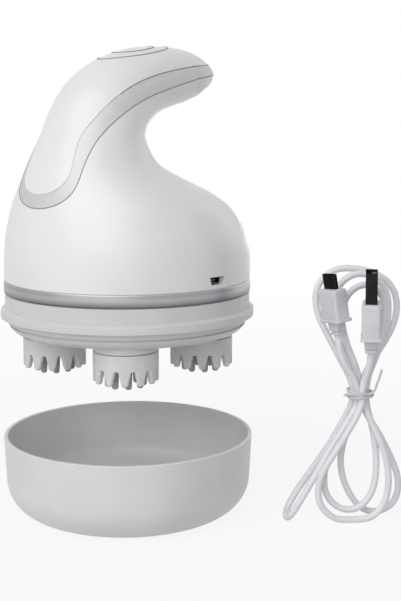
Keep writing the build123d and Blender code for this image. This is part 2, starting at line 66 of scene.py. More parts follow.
# Route of the cord in millimetres, across, away and up from the middle of the hank's foot.
CORD_ROUTE = [
    # first lead down to the tie, then the narrow left loop that turns away on the floor
    (-9.0, -5.0, 74.4), (-8.9, -5.0, 70.0), (-6.6, -4.2, 63.0), (-2.2, -2.0, 57.0), (-0.6, -1.05, 52.5),
    (-0.6, -1.05, 46.0), (-4.8, -1.3, 38.5), (-12.0, -1.6, 27.5), (-18.6, -4.0, 16.5), (-25.7, -5.0, 4.9),
    (-27.6, -1.2, 1.3), (-27.6, 4.2, 1.3), (-25.4, 7.8, 5.0), (-20.0, 7.8, 13.5), (-14.6, 6.8, 21.5),
    (-9.4, 5.6, 30.0), (-4.8, 3.4, 39.5), (-1.9, 1.2, 46.5), (-1.9, 1.2, 54.0),
    # large upper loop
    (-6.2, 3.2, 62.5), (-11.5, 5.6, 72.5), (-16.0, 7.2, 82.0), (-15.6, 7.6, 92.0), (-9.0, 7.6, 98.0),
    (-1.0, 7.6, 98.3), (7.0, 7.6, 96.6), (14.5, 7.4, 91.5), (16.8, 7.4, 82.0), (13.4, 7.0, 72.0),
    (7.0, 6.0, 63.0), (2.0, 3.45, 55.0), (2.0, 3.45, 46.0),
    # right lower loop at the back
    (4.4, 4.2, 40.5), (9.0, 4.8, 33.5), (14.0, 5.0, 24.0), (17.8, 5.0, 14.0), (16.4, 5.0, 5.2),
    (9.6, 5.0, 0.9), (2.4, 5.0, 2.4), (-3.6, 5.0, 11.0), (-6.2, 5.0, 21.0), (-4.8, 4.7, 30.5),
    (-1.6, 3.9, 39.0), (-0.6, 3.45, 46.0), (-0.6, 3.45, 55.0),
    # middle upper loop
    (-3.8, 4.0, 62.5), (-8.0, 4.8, 72.0), (-10.0, 5.0, 83.0), (-7.6, 5.0, 92.0), (-1.5, 5.0, 96.6),
    (5.5, 5.0, 96.0), (11.5, 4.9, 90.5), (12.6, 4.6, 81.0), (10.0, 3.6, 71.0), (6.4, 2.2, 62.5),
    (3.3, 1.2, 55.0), (3.3, 1.2, 46.0),
    # inner lower loop
    (5.0, 1.2, 40.0), (6.8, 0.9, 32.0), (7.8, 0.5, 21.5), (6.4, 0.0, 11.0), (0.8, -0.4, 4.4),
    (-6.5, -0.6, 4.2), (-12.8, -0.4, 10.0), (-13.2, 0.2, 20.5), (-8.8, 0.9, 29.5), (-3.0, 1.3, 38.0),
    (0.7, 1.2, 46.0), (0.7, 1.2, 54.0),
    # inner upper loop
    (-0.8, 1.4, 60.5), (-4.4, 1.7, 69.0), (-6.8, 1.9, 78.5), (-5.8, 2.0, 86.8), (-0.6, 2.0, 92.4),
    (5.6, 2.0, 92.2), (10.2, 2.0, 87.0), (10.2, 2.0, 79.0), (8.6, 1.6, 72.0), (4.6, 0.4, 62.5),
    (2.0, -1.05, 55.0), (2.0, -1.05, 46.0),
    # front lower loop, whose left run crosses the knot in front and rises to the other plug
    (4.6, -1.6, 40.0), (9.0, -2.2, 31.0), (12.0, -2.8, 20.0), (11.2, -3.2, 8.5), (5.5, -3.6, 1.6),
    (-2.5, -3.8, 1.3), (-9.8, -4.0, 1.6), (-16.0, -4.2, 8.0), (-15.8, -4.3, 18.0), (-10.5, -4.4, 27.0),
    (-4.4, -4.0, 36.5), (0.7, -3.3, 45.5), (0.9, -3.6, 54.0), (2.2, -5.6, 60.0), (3.0, -7.8, 64.0),
    (3.0, -8.0, 68.1),
]

# ---- Sizes that stay as they are ----
CLAW_ROOT = 6.0 * MM  # from the top of a head down to where its fingers begin
CLAW_WALL = 2.9 * MM  # thickness of an outer finger at its root
CLAW_GAP = 0.8 * MM  # between two outer fingers at their roots
CLAW_TAPER = (0.7, 0.42, 1.0)  # share of thickness and width left at the tip of an outer finger
CLAW_ROUND = 0.75 * MM
FINGER_SINK = 0.8 * MM  # how far a finger reaches up into what carries it
WEB_INSET = 2.7 * MM  # from the outside of a head in to the edge of its web
WEB_THICKNESS = 1.2 * MM
INNER_CIRCLE = 6.7 * MM  # from the axis of a head to the middle of an inner finger
INNER_RADIUS = 1.6 * MM
INNER_TAPER = (0.78, 0.78, 1.0)
INNER_ROUND = 0.95 * MM
BORE_RADIUS = 2.55 * MM
BORE_DEPTH = 4.5 * MM

BAND_WALL = 2.3 * MM
BAND_CROWN = 0.22 * MM  # how far the middle of the band stands out past its edges
BAND_STEPS = 8
BAND_ROUND = 0.08 * MM
LIP_WALL = 3.85 * MM
LIP_SLOPE = 0.9 * MM  # height of the slope between the band's width and the lip's
LIP_ROUND = 0.25 * MM

# Foot of each plug, and width, depth and height of its strain relief, grip and metal shell, in millimetres.
USB_FOOT = (3.0, -8.0, 68.0)
USB_RELIEF = (5.0, 7.0, 5.2)
USB_GRIP = (7.2, 15.5, 14.0)
USB_SHELL = (4.5, 12.0, 11.8)
USB_SHELL_FOOT = 87.2  # height at which the metal shell starts
USB_TURN = math.radians(-11)
USB_TONGUE = (1.9 * MM, 11.1 * MM, 10.9 * MM)
USB_TONGUE_MIDDLE = (4.0 * MM, -8.0 * MM, 92.7 * MM)
MICRO_FOOT = (-9.0, -5.0, 74.5)
MICRO_RELIEF = (5.0, 4.6, 5.0)
MICRO_GRIP = (10.4, 6.6, 12.8)
MICRO_SHELL = (6.85, 1.8, 5.6)
MICRO_SHELL_FOOT = 92.3
MICRO_TURN = math.radians(-60)
MICRO_LEAN = math.radians(-9)
# Latch windows of the larger shell: side, place along the side and height above the shell's foot.
USB_WINDOWS = [(side, along, 6.5) for side in (-1, 1) for along in (-3, 3)]
WINDOW_SIZE = (1.0 * MM, 2.0 * MM, 2.0 * MM)
# Steps of a strain relief: lower and upper end as a share of its height, and its share of the width.
RELIEF_STEPS = ((0.0, 0.22, 0.86), (0.12, 0.4, 0.7), (0.34, 0.94, 0.98), (0.9, 1.06, 0.84))

# The tie's wire, in millimetres: middle of its two turns, lift and lean of each, and the runs of its tail.
TIE_MIDDLE = (0.7, 0.1, 50.4)
TIE_TURNS = ((0.75, 5.0), (-0.75, -4.0))
TIE_TAIL = (
    ((3.0, -4.6, 50.8), (5.4, -4.8, 52.0), (6.3, -4.0, 54.6), (7.6, -3.4, 57.4), (8.4, -3.0, 60.2)),
    ((1.0, -5.2, 50.0), (-2.4, -5.0, 50.9), (-5.0, -3.6, 51.2), (-6.2, -3.2, 50.2)),
)

VIEW_AWAY = (0.688, 0.725, 0)  # level direction from the viewer to the massager
LENS_MM = 72.16
LENS_SHIFT = -0.12
CAMERA_ASIDE = 0.0022  # how far the camera stands to the right of the massager's axis
LIGHT_AIM = (0, 0, 0.1)
# Each lamp's distance behind, to the right of and above the aim, then its width and height, in metres.
LAMPS = {
    "key": ((-0.8, -0.46, 0.68), (1.3, 1.3)),
    "rim": ((0.55, 0.8, 0.2), (0.6, 0.9)),
    "back": ((1.0, 0.15, -0.02), (0.9, 0.14)),
}
FLOOR_SIZE = 12.0
PAPER_NEAR = 0.12  # out to here the paper shows the most shadow
PAPER_FAR = 0.6  # from here on it is plain white
PAPER_WHITE = 0.88  # share of plain white close to the pieces


# ---- Sizes and colours a user would change ----
class ClawSizes(bpy.types.PropertyGroup):
    """Sizes of the four claw heads"""

    diameter: bpy.props.FloatProperty(
        name="Diameter", description="Outer diameter of a claw head", default=24.8 * MM, unit="LENGTH")
    outer_count: bpy.props.IntProperty(
        name="Outer fingers", description="Flat fingers round the rim of a head", default=12, min=6, max=20)
    outer_length: bpy.props.FloatProperty(
        name="Outer length", description="Length of an outer finger below its root",
        default=5.7 * MM, unit="LENGTH")
    inner_count: bpy.props.IntProperty(
        name="Inner fingers", description="Round fingers inside the rim", default=8, min=4, max=12)
    inner_length: bpy.props.FloatProperty(
        name="Inner length", description="Length of an inner finger below its root",
        default=7.7 * MM, unit="LENGTH")
    inner_turn: bpy.props.FloatProperty(
        name="Inner turn", description="Turn of the inner fingers against the outer ones",
        default=math.radians(10), unit="ROTATION")
    voxel: bpy.props.FloatProperty(
        name="Rounding grain", description="Grain at which the moulded silicone is rounded over",
        default=0.3 * MM, precision=5, unit="LENGTH")


class CableSizes(bpy.types.PropertyGroup):
    """Sizes of the charging cord"""

    diameter: bpy.props.FloatProperty(
        name="Cord diameter", description="Outer diameter of the cord",
        default=2.6 * MM, precision=4, unit="LENGTH")
    length: bpy.props.FloatProperty(
        name="Cord length", description="Real length of the cord between its plugs",
        default=0.83, unit="LENGTH")


class FinishColours(bpy.types.PropertyGroup):
    """Main colours of the pieces in view"""

    shell: bpy.props.StringProperty(
        name="Shell", description="Hex colour of the white shell", default="EDEDED")
    trim: bpy.props.StringProperty(
        name="Trim", description="Hex colour of the silver paint", default="CFCFD1")
    rings: bpy.props.StringProperty(
        name="Rings", description="Hex colour of the grey rings", default="D9D9D9")
    silicone: bpy.props.StringProperty(
        name="Silicone", description="Hex colour of the claws", default="E2E2E2")
    cup: bpy.props.StringProperty(
        name="Cup", description="Hex colour of the storage cup", default="E2E2E2")
    cord: bpy.props.StringProperty(
        name="Cord", description="Hex colour of the cable jacket", default="EFEEF3")


class StageSizes(bpy.types.PropertyGroup):
    """Place of the camera and power of the lights"""

    distance: bpy.props.FloatProperty(
        name="Camera distance", description="Level distance from the massager's axis",
        default=0.4756, unit="LENGTH")
    height: bpy.props.FloatProperty(
        name="Camera height", description="Height of the lens above the floor",
        default=0.1603, unit="LENGTH")
    pan: bpy.props.FloatProperty(
        name="Pan", description="Turn of the camera from the massager towards the cable",
        default=math.radians(3.225), unit="ROTATION")
    tilt: bpy.props.FloatProperty(
        name="Tilt", description="Turn of the camera downwards",
        default=math.radians(5.717), unit="ROTATION")
    key: bpy.props.FloatProperty(
        name="Key light", description="Power of the key light in watts", default=10.6)
    rim: bpy.props.FloatProperty(
        name="Rim light", description="Power of the rim light in watts", default=1.2)
    back: bpy.props.FloatProperty(
        name="Back light", description="Power of the back light in watts", default=1.1)
    room: bpy.props.FloatProperty(
        name="Room light", description="Level of the light from all round", default=0.28)


# ---- Small helpers ----
def linear(text):
    """Linear colour of an sRGB hex string."""
    channels = [int(text[i:i + 2], 16) / 255 for i in (0, 2, 4)]
    return tuple(c / 12.92 if c <= 0.04045 else ((c + 0.055) / 1.055) ** 2.4 for c in channels) + (1.0,)


def pick_none():
    """Leaves nothing picked."""
    bpy.ops.object.select_all(action="DESELECT")


def pick_only(obj):
    """Leaves one object picked and active."""
    pick_none()
    obj.select_set(True)
    bpy.context.view_layer.objects.active = obj


def apply_place(obj):
    """Bakes an object's place, turn and scale into its mesh."""
    pick_only(obj)
    bpy.ops.object.transform_apply(location=True, rotation=True, scale=True)


def added(name):
    """Names the primitive just added and leaves it the only one picked."""
    obj = bpy.context.object
    obj.name = name
    obj.data.name = name
    apply_place(obj)
    return obj


def pick_faces(obj, wanted):
    """Enters edit mode with only the faces picked for which wanted(centre, normal) holds."""
    pick_only(obj)
    bpy.ops.object.mode_set(mode="EDIT")
    bpy.ops.mesh.select_mode(type="FACE")
    mesh = bmesh.from_edit_mesh(obj.data)
    for face in mesh.faces:
        face.select_set(bool(wanted(face.calc_center_median(), face.normal)))
    mesh.select_flush_mode()
    bmesh.update_edit_mesh(obj.data)


def pick_edges(obj, wanted):
    """Enters edit mode with only the edges picked for which wanted(end, other end) holds."""
    pick_only(obj)
    bpy.ops.object.mode_set(mode="EDIT")
    bpy.ops.mesh.select_mode(type="EDGE")
    bpy.ops.mesh.select_all(action="DESELECT")
    mesh = bmesh.from_edit_mesh(obj.data)
    for edge in mesh.edges:
        edge.select_set(bool(wanted(edge.verts[0].co, edge.verts[1].co)))
    bmesh.update_edit_mesh(obj.data)


def leave_edit():
    """Goes back to object mode."""
    bpy.ops.object.mode_set(mode="OBJECT")


def add_modifier(obj, kind, **settings):
    """Adds a modifier and applies it."""
    pick_only(obj)
    modifier = obj.modifiers.new(kind.lower(), kind)
    for key, value in settings.items():
        setattr(modifier, key, value)
    bpy.ops.object.modifier_apply(modifier=modifier.name)


def joined(objects, name):
    """Joins objects into the first of them and names it."""
    pick_none()
    for obj in objects:
        obj.select_set(True)
    bpy.context.view_layer.objects.active = objects[0]
    bpy.ops.object.join()
    objects[0].name = name
    objects[0].data.name = name
    return objects[0]


def copy_of(obj, name, place):
    """Copy with its own mesh, moved by a matrix within the mesh."""
    twin = obj.copy()
    twin.data = obj.data.copy()
    twin.name = name
    twin.data.name = name
    bpy.context.scene.collection.objects.link(twin)
    twin.data.transform(place)
    return twin


def round_copies(form, count, turn=0.0):
    """Copies of a form spread evenly round the Z axis; the form itself goes."""
    pitch = 2 * math.pi / count
    copies = []
    for k in range(count):
        copies.append(copy_of(form, f"{form.name}_{k}", Matrix.Rotation(k * pitch + turn, 4, "Z")))
    discard(form)
    return copies


def discard(obj):
    """Takes an object out of the file."""
    bpy.data.objects.remove(obj, do_unlink=True)


def cut(obj, cutter):
    """Cuts one form out of another; the cutter goes."""
    add_modifier(obj, "BOOLEAN", object=cutter, operation="DIFFERENCE", solver="EXACT")
    discard(cutter)


def smooth(obj, angle=40):
    """Shades an object smoothly except across edges sharper than the angle."""
    pick_only(obj)
    bpy.ops.object.shade_smooth_by_angle(angle=math.radians(angle))


def block(name, size, centre, bevel, segments=3, taper=1.0):
    """Rounded block: a cube shaped by tapering its lower face and bevelling its edges."""
    bpy.ops.mesh.primitive_cube_add(size=1.0, location=centre, scale=size)
    obj = added(name)
    if taper != 1.0:
        foot = (centre[0], centre[1], centre[2] - size[2] / 2)
        pick_faces(obj, lambda c, n: n.z < -0.9)
        bpy.ops.transform.resize(value=(taper, taper, 1.0), center_override=foot)
        leave_edit()
    pick_faces(obj, lambda c, n: True)
    bpy.ops.mesh.bevel(offset=bevel, segments=segments, affect="EDGES")
    leave_edit()
    return obj


def turned(name, outline, rounding):
    """Ring turned about the Z axis from a closed outline of (radius, height), its corners rounded over."""
    curve = bpy.data.curves.new(name, "CURVE")
    curve.dimensions = "3D"
    spline = curve.splines.new("POLY")
    spline.points.add(len(outline) - 1)
    for point, (radius, height) in zip(spline.points, outline):
        point.co = (radius, 0, height, 1)
    spline.use_cyclic_u = True
    ring = bpy.data.objects.new(name, curve)
    bpy.context.scene.collection.objects.link(ring)
    pick_only(ring)
    bpy.ops.object.convert(target="MESH")
    ring = bpy.context.object
    add_modifier(ring, "BEVEL", affect="VERTICES", width=rounding, segments=4, limit_method="NONE")
    add_modifier(ring, "SCREW", steps=256, render_steps=256, use_merge_vertices=True,
                 merge_threshold=MM / 1000)
    pick_faces(ring, lambda c, n: True)
    bpy.ops.mesh.normals_make_consistent(inside=False)
    leave_edit()
    smooth(ring, 50)
    return ring


# ---- Finishes ----
def add_node(tree, kind, inputs=None, **settings):
    """Adds one node with its settings, its socket values and its links."""
    node = tree.nodes.new(kind)
    for key, value in settings.items():
        setattr(node, key, value)
    for socket, value in (inputs or {}).items():
        if isinstance(value, bpy.types.NodeSocket):
            tree.links.new(value, node.inputs[socket])
        else:
            node.inputs[socket].default_value = value
    return node


def finish_of(name, light, dark, roughness, spread=0.08, cloud_mm=14.0, grain_mm=0.5, relief_mm=0.01,
              grain_mix=0.3, **shader_sockets):
    """Material with soft clouding between two tones, a surface grain in its relief and an uneven gloss."""
    material = bpy.data.materials.new(name)
    material.use_nodes = True
    tree = material.node_tree
    shader = tree.nodes["Principled BSDF"]
    place = add_node(tree, "ShaderNodeTexCoord").outputs["Object"]
    clouds = add_node(tree, "ShaderNodeTexNoise", {
        "Vector": place, "Scale": 1 / (cloud_mm * MM), "Detail": 3.0, "Roughness": 0.5})
    grain = add_node(tree, "ShaderNodeTexNoise", {
        "Vector": place, "Scale": 1 / (grain_mm * MM), "Detail": 2.0, "Roughness": 0.6})
    tint = add_node(tree, "ShaderNodeMix", {
        0: grain_mix, "A": clouds.outputs["Fac"], "B": grain.outputs["Fac"]}, data_type="FLOAT")
    ramp = add_node(tree, "ShaderNodeValToRGB", {"Fac": tint.outputs[0]})
    for stop, (position, tone) in zip(ramp.color_ramp.elements, ((0.36, dark), (0.6, light))):
        stop.position = position
        stop.color = linear(tone)
    gloss = add_node(tree, "ShaderNodeMapRange", {
        "Value": tint.outputs[0], "From Min": 0.3, "From Max": 0.7,
        "To Min": roughness - spread, "To Max": roughness + spread})
    relief = add_node(tree, "ShaderNodeBump", {
        "Height": grain.outputs["Fac"], "Strength": 0.6, "Distance": relief_mm * MM})
    tree.links.new(ramp.outputs["Color"], shader.inputs["Base Color"])
    tree.links.new(gloss.outputs["Result"], shader.inputs["Roughness"])
    tree.links.new(relief.outputs["Normal"], shader.inputs["Normal"])
    for socket, value in shader_sockets.items():
        shader.inputs[socket.replace("_", " ")].default_value = value
    return material


def wear(obj, material):
    """Gives an object one material."""
    obj.data.materials.clear()
    obj.data.materials.append(material)


class MASSAGER_OT_finishes(bpy.types.Operator):
    """Gives every piece of the frame its finish"""

    bl_idname = "massager.finishes"
    bl_label = "Finishes of the frame"

    def execute(self, context):
        colours = context.scene.massager_colours
        # White ABS from a polished mould: clean white with a soft satin gloss.
        white = finish_of(
            "white_abs_moulded", colours.shell, "E7E7E7", roughness=0.36, spread=0.04, cloud_mm=30,
            grain_mm=0.6, relief_mm=0.004, grain_mix=0.2, IOR=1.54, Coat_Weight=0.25, Coat_Roughness=0.25)
        # Silver lacquer with fine flake over ABS: broad soft highlights, darker where it turns away.
        silver = finish_of(
            "silver_lacquer_on_abs", colours.trim, "C5C5C7", roughness=0.6, spread=0.05, cloud_mm=9,
            grain_mm=0.35, relief_mm=0.003, grain_mix=0.5, Metallic=0.45)
        # Light grey ABS from a spark-eroded mould: fine matt grain.
        ring = finish_of(
            "light_grey_abs_spark_eroded", colours.rings, "D0D0D0", roughness=0.46, spread=0.05,
            cloud_mm=20, relief_mm=0.012, IOR=1.54)
        # Mass-coloured pearl grey ABS: satin, with a faint cloudiness.
        cup = finish_of(
            "pearl_grey_abs_moulded", colours.cup, "DADADA", roughness=0.4, spread=0.05, cloud_mm=26,
            grain_mm=0.55, relief_mm=0.008, IOR=1.54)
        # Turned steel: bright bare metal with an uneven sheen.
        steel = finish_of(
            "turned_steel", "B9BABC", "8E8F92", roughness=0.3, cloud_mm=5, grain_mm=0.3, relief_mm=0.006,
            Metallic=1.0)
        # Natural acetal: creamy white gears with a slight gloss.
        acetal = finish_of(
            "natural_acetal", "ECE9DC", "DDD9CA", roughness=0.38, spread=0.06, cloud_mm=8, relief_mm=0.006,
            IOR=1.48)
        # Sintered bronze: dull brown gold with a grainy skin.
        bronze = finish_of(
            "sintered_bronze", "A9803F", "7E5C2B", roughness=0.55, spread=0.1, cloud_mm=3, grain_mm=0.25,
            relief_mm=0.02, Metallic=1.0)
        # Glass-filled nylon: black and matt with a coarse grain.
        nylon = finish_of(
            "black_glass_filled_nylon", "2B2B2C", "1D1D1E", roughness=0.55, cloud_mm=6, grain_mm=0.4,
            relief_mm=0.015, IOR=1.53)
        # Shrink wrap of the cell: glossy blue film.
        wrap = finish_of(
            "cell_shrink_wrap", "2E5EA8", "234C8C", roughness=0.32, spread=0.06, cloud_mm=12, grain_mm=0.8,
            IOR=1.52)
        # Solder mask on laminate: glossy dark green.
        board = finish_of(
            "solder_mask_on_laminate", "1E6B3C", "14512B", roughness=0.3, spread=0.06, cloud_mm=4,
            grain_mm=0.6, IOR=1.5)
        # Nickel plate on steel: a grey, slightly soft mirror.
        nickel = finish_of(
            "nickel_plate_on_steel", "7D7D80", "5C5C60", roughness=0.24, spread=0.05, cloud_mm=3,
            grain_mm=0.3, relief_mm=0.004, Metallic=1.0)
        finishes = {
            "white_shell": white, "silver_trim": silver, "grey_ring": ring, "cup_grey": cup, "steel": steel,
            "gear_plastic": acetal, "bronze": bronze, "deck_plastic": nylon, "cell_wrap": wrap,
            "circuit_board": board, "plug_metal": nickel,
        }
        for part in frame["record"]["subparts"]:
            if part["material_slot"] in finishes:
                wear(NODES[part["node"]], finishes[part["material_slot"]])
        return {"FINISHED"}


# ---- Seams, drawn with painted shade ----
# Middle line of the handle in the side view, (x, z) in millimetres, from which outward is told.
HANDLE_LINE = [
    (-12.6, 132.6), (-17.2, 138.0), (-18.4, 143.7), (-17.4, 149.6), (-14.0, 157.0), (-8.0, 163.7),
    (1.1, 168.8), (11.9, 172.0), (22.5, 173.5), (31.5, 174.0), (37.6, 173.4),
]

# An edge gets a bead where it is sharp, one of its faces looks outward and the other one looks aside.
SHARP_EDGE = math.radians(45)
MOST_ASIDE = 0.5  # the inner face looks outward by less than this
LEAST_OUTWARD = 0.42  # the outer face looks outward by more than this


def seam_shade_bead(name, node, radius, outward):
    """Thin bead along a node's outer edges, between a face that looks outward and one that doesn't, to
    carry painted shade in the seam.
    """
    bead = copy_of(NODES[node], name, Matrix())
    pick_only(bead)
    bpy.ops.object.mode_set(mode="EDIT")
    bpy.ops.mesh.select_all(action="SELECT")
    bpy.ops.mesh.remove_doubles(threshold=0.004 * MM)
    mesh = bmesh.from_edit_mesh(bead.data)
    for edge in mesh.edges:
        middle = (edge.verts[0].co + edge.verts[1].co) / 2
        looks = sorted(outward(middle, face.normal) for face in edge.link_faces)
        edge.tag = (len(edge.link_faces) == 2 and edge.calc_face_angle(0) > SHARP_EDGE
                    and looks[0] < MOST_ASIDE and looks[1] > LEAST_OUTWARD)
    bmesh.ops.delete(mesh, geom=[edge for edge in mesh.edges if not edge.tag], context="EDGES_FACES")
    bmesh.ops.delete(mesh, geom=[vertex for vertex in mesh.verts if not vertex.link_edges], context="VERTS")
    bmesh.update_edit_mesh(bead.data)
    leave_edit()
    bpy.ops.object.convert(target="CURVE")
    bead = bpy.context.object
    bead.data.bevel_depth = radius
    bead.data.bevel_resolution = 2
    bpy.ops.object.convert(target="MESH")
    bead = bpy.context.object
    smooth(bead, 60)
    return bead


def off_handle_line(place, normal):
    """How far a face of the handle looks away from the handle's middle line, 1 for straight away."""
    line = (Vector((x * MM, 0, z * MM)) for x, z in HANDLE_LINE)
    nearest = min(line, key=lambda middle: (place - middle).length)
    return normal.dot((place - nearest).normalized())


class MASSAGER_OT_seams(bpy.types.Operator):
    """Lays grey beads of painted shade in the seams along the silver trim and round the button"""

    bl_idname = "massager.seams"
    bl_label = "Seams of the handle"

    def execute(self, context):
        # Matt grey painted shade for the seams: it draws the parting lines as thin mid-grey lines.
        seam_shade = finish_of(
            "grey_sealing_lip", "8E8E8F", "7E7E80", roughness=0.6, spread=0.04, cloud_mm=10, IOR=1.45)
        beads = (
            ("trim_seams", "handle_trim", 0.17 * MM, off_handle_line),
            ("button_seams", "button_bezel", 0.24 * MM, lambda place, normal: normal.z),
        )
        for name, node, radius, outward in beads:
            bead = seam_shade_bead(name, node, radius, outward)
            wear(bead, seam_shade)
            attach(bead, "massager")
        return {"FINISHED"}


# ---- Rings ----
def band_metal_with_painted_shade(low, high):
    """Polished ring metal whose base colour carries painted shade: darker along its foot and in a line
    below its top, between two heights.
    """
    metal = finish_of(
        "crowned_band_nickel", "BFBFC2", "B8B8BB", roughness=0.38, spread=0.03, cloud_mm=12, grain_mm=0.3,
        relief_mm=0.001, grain_mix=0.2, Metallic=0.85)
    tree = metal.node_tree
    shader = tree.nodes["Principled BSDF"]
    place = add_node(tree, "ShaderNodeTexCoord").outputs["Object"]
    height = add_node(tree, "ShaderNodeSeparateXYZ", {0: place}).outputs["Z"]
    across = add_node(tree, "ShaderNodeMapRange", {"Value": height, "From Min": low, "From Max": high})
    # Painted shade: a ramp over the height darkens the colour along the foot and in a line below the top.
    painted_shade_ramp = add_node(tree, "ShaderNodeValToRGB", {"Fac": across.outputs["Result"]})
    painted_shade_ramp.color_ramp.interpolation = "B_SPLINE"
    stops = painted_shade_ramp.color_ramp.elements
    stops[0].color = linear("6E6E70")
    stops[1].color = linear("FFFFFF")
    for position, level in ((0.12, "9A9A9C"), (0.55, "FFFFFF"), (0.85, "B4B4B6")):
        stops.new(position).color = linear(level)
    mixed = add_node(tree, "ShaderNodeMix", {
        0: 1.0, "A": shader.inputs["Base Color"].links[0].from_socket, "B": painted_shade_ramp.outputs["Color"]},
        data_type="RGBA", blend_type="MULTIPLY")
    tree.links.new(mixed.outputs["Result"], shader.inputs["Base Color"])
    return metal


class MASSAGER_OT_rings(bpy.types.Operator):
    """Turns the crowned silver band and the stepped silicone lip"""

    bl_idname = "massager.rings"
    bl_label = "Band and lip"

    def execute(self, context):
        low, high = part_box("silver_band")
        band_radius = high.x
        inner = band_radius - BAND_WALL
        outline = [(inner, low.z)]
        for k in range(BAND_STEPS + 1):
            share = k / BAND_STEPS
            crown = BAND_CROWN * math.sin(math.pi * share)
            outline.append((band_radius + crown, low.z + (high.z - low.z) * share))
        band = turned("crowned_band", outline + [(inner, high.z)], BAND_ROUND)
        # Polished nickel ring with a shallow crown; painted shade in its colour gives a bright middle
        # between two darker lines.
        wear(band, band_metal_with_painted_shade(low.z, high.z))
        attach(band, "massager")
        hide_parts("silver_band")

        low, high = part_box("lip_seal")
        inner = high.x - LIP_WALL
        outline = [(inner, low.z), (high.x, low.z), (high.x, high.z - LIP_SLOPE),
                   (band_radius, high.z), (inner, high.z)]
        lip = turned("stepped_lip", outline, LIP_ROUND)
        wear(lip, NODES["lip_seal"].data.materials[0])
        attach(lip, "massager")
        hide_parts("lip_seal")
        return {"FINISHED"}


# ---- Claw heads ----
def claw_ring(sizes):
    """Rim of one head with its flat outer fingers, centred on the Z axis."""
    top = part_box("massage_head_1")[1].z
    root = top - CLAW_ROOT
    radius = sizes.diameter / 2
    bpy.ops.mesh.primitive_cylinder_add(
        vertices=96, radius=radius, depth=top - root, location=(0, 0, (top + root) / 2))
    rim = added("claw_rim")
    length = sizes.outer_length
    tip = root - length
    root_width = radius * (2 * math.pi / sizes.outer_count) - CLAW_GAP
    bpy.ops.mesh.primitive_cube_add(
        size=1.0, location=(radius - CLAW_WALL / 2, 0, root - length / 2 + FINGER_SINK / 2),
        scale=(CLAW_WALL, root_width, length + FINGER_SINK))
    finger = added("claw_finger")
    pick_faces(finger, lambda c, n: n.z < -0.9)
    bpy.ops.transform.resize(value=CLAW_TAPER, center_override=(radius, 0, tip))
    leave_edit()
    pick_edges(finger, lambda a, b: min(a.z, b.z) < tip + 0.2 * MM)
    bpy.ops.mesh.bevel(offset=CLAW_ROUND, segments=6, affect="EDGES")
    bpy.ops.mesh.select_all(action="SELECT")
    bpy.ops.mesh.subdivide(number_cuts=3)
    leave_edit()
    # The flat finger is bent round the rim it hangs from.
    for vertex in finger.data.vertices:
        reach, turn = vertex.co.x, vertex.co.y / radius
        vertex.co.x, vertex.co.y = reach * math.cos(turn), reach * math.sin(turn)
    return joined([rim] + round_copies(finger, sizes.outer_count), "claw_ring")


def claw_core(sizes):
    """Web under the rim with its longer round fingers, centred on the Z axis."""
    low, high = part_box("massage_head_1")
    root = high.z - CLAW_ROOT
    bpy.ops.mesh.primitive_cylinder_add(
        vertices=72, radius=sizes.diameter / 2 - WEB_INSET, depth=WEB_THICKNESS, location=(0, 0, root))
    web = added("claw_web")
    length = sizes.inner_length + FINGER_SINK
    bpy.ops.mesh.primitive_cylinder_add(
        vertices=28, radius=INNER_RADIUS, depth=length,
        location=(INNER_CIRCLE, 0, root + FINGER_SINK - length / 2))
    finger = added("inner_finger")
    pick_faces(finger, lambda c, n: n.z < -0.9)
    bpy.ops.transform.resize(value=INNER_TAPER, center_override=(INNER_CIRCLE, 0, low.z))
    bpy.ops.mesh.bevel(offset=INNER_ROUND, segments=6, affect="EDGES")
    leave_edit()
    return joined([web] + round_copies(finger, sizes.inner_count, sizes.inner_turn), "claw_core")


def mould_over(obj, voxel, rounds):
    """Turns overlapping forms into one moulded skin with soft inner corners."""
    pick_only(obj)
    obj.data.remesh_voxel_size = voxel
    bpy.ops.object.voxel_remesh()
    add_modifier(obj, "SMOOTH", factor=0.6, iterations=rounds)
    pick_only(obj)
    bpy.ops.object.shade_smooth()


def bore_out(obj, radius, bottom, top):
    """Cuts a round bore on the Z axis."""
    bpy.ops.mesh.primitive_cylinder_add(
        vertices=48, radius=radius, depth=top - bottom, location=(0, 0, (top + bottom) / 2))
    cut(obj, added("bore_cutter"))


